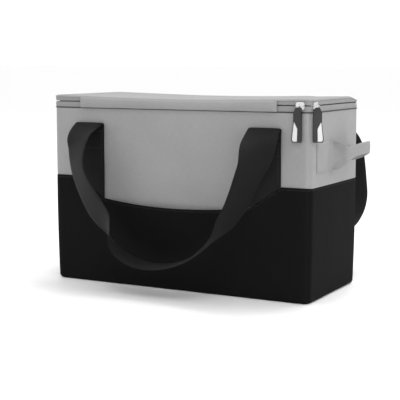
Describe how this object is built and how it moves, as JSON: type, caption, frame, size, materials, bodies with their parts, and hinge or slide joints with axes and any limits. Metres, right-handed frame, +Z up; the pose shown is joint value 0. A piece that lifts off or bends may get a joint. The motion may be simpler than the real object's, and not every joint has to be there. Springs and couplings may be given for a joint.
{
  "type": "insulated cooler bag",
  "caption": "Soft insulated box bag with a zipped hinged lid, foam walls, welded liner, front pocket, webbing carry handles and a side grab handle.",
  "frame": {"origin": "centre of the underside of the base, where the bag stands", "axes": "+Z up, +X towards the side with the grab handle, -Y towards the front with the pocket"},
  "size_m": [0.413, 0.3284, 0.247],
  "materials": {
    "grey_fabric": "fine woven polyester",
    "black_fabric": "fine woven polyester",
    "webbing": "ribbed webbing",
    "zipper_tape": "woven tape",
    "piping": "dark binding",
    "grey_binding": "binding tape",
    "foam": "closed-cell foam sheet",
    "liner": "welded film, satin",
    "board": "sheet",
    "coil": "nylon",
    "chrome": "polished",
    "pull_black": "moulded, satin",
    "pull_light": "moulded, satin"
  },
  "bodies": {
    "bag": {"front_panel": "grey_fabric", "back_upper_panel": "grey_fabric", "left_upper_panel": "grey_fabric", "right_upper_panel": "grey_fabric", "back_lower_panel": "black_fabric", "left_lower_panel": "black_fabric", "right_lower_panel": "black_fabric", "pocket_panel": "black_fabric", "bottom_panel": "black_fabric", "base_board": "board", "base_foam": "foam", "front_foam": "foam", "back_foam": "foam", "left_foam": "foam", "right_foam": "foam", "liner_tub": "liner", "rim_binding": "grey_binding", "rim_piping": "piping", "zipper_tape_lower": "zipper_tape", "zipper_coil_lower": "coil", "zipper_end_stops": "chrome", "hinge_strip_body_half": "grey_fabric", "front_strap_left": "webbing", "front_strap_right": "webbing", "back_strap_left": "webbing", "back_strap_right": "webbing", "grab_handle_patch": "grey_fabric", "grab_handle_anchor": "grey_fabric", "grab_handle_loop": "grey_fabric"},
    "lid": {"zipper_tape_upper": "zipper_tape", "zipper_coil_upper": "coil", "hinge_strip_lid_half": "grey_fabric", "lid_panel": "grey_fabric", "lid_piping": "grey_binding", "lid_foam": "foam", "lid_liner": "liner"},
    "flap": {"storm_flap": "grey_fabric"},
    "front_slider": {"front_slider": "chrome", "front_slider_bail": "chrome"},
    "side_slider": {"side_slider": "chrome", "side_slider_bail": "chrome"},
    "front_pull": {"front_pull_link": "chrome", "front_pull_tab": "pull_black", "front_pull_inset": "pull_light"},
    "side_pull": {"side_pull_link": "chrome", "side_pull_tab": "pull_black", "side_pull_inset": "pull_light"},
    "front_handle": {"front_handle": "webbing"},
    "back_handle": {"back_handle": "webbing"}
  },
  "joints": [
    {"name": "lid_hinge", "type": "hinge", "parent": "bag", "child": "lid", "pos_m": [0, 0.0784, 0.2395], "axis": [-1, 0, 0], "range_deg": [0, 100]},
    {"name": "flap_lift", "type": "hinge", "parent": "lid", "child": "flap", "pos_m": [0, -0.0809, 0.2456], "axis": [-1, 0, 0], "range_deg": [0, 100]},
    {"name": "front_slider_slide", "type": "slide", "parent": "bag", "child": "front_slider", "axis": [-1, 0, 0], "range_m": [0, 0.013]},
    {"name": "side_slider_slide", "type": "slide", "parent": "bag", "child": "side_slider", "axis": [0, 1, 0], "range_m": [0, 0.12]},
    {"name": "front_pull_swing", "type": "hinge", "parent": "front_slider", "child": "front_pull", "pos_m": [0.1688, -0.0826, 0.239], "axis": [-1, 0, 0], "range_deg": [0, 140]},
    {"name": "side_pull_swing", "type": "hinge", "parent": "side_slider", "child": "side_pull", "pos_m": [0.1886, -0.0712, 0.239], "axis": [0, -1, 0], "range_deg": [0, 140]},
    {"name": "front_handle_swing", "type": "hinge", "parent": "bag", "child": "front_handle", "pos_m": [0, -0.0827, 0.2085], "axis": [-1, 0, 0], "range_deg": [0, 100]},
    {"name": "back_handle_swing", "type": "hinge", "parent": "bag", "child": "back_handle", "pos_m": [0, 0.0827, 0.2085], "axis": [1, 0, 0], "range_deg": [0, 100]}
  ]
}
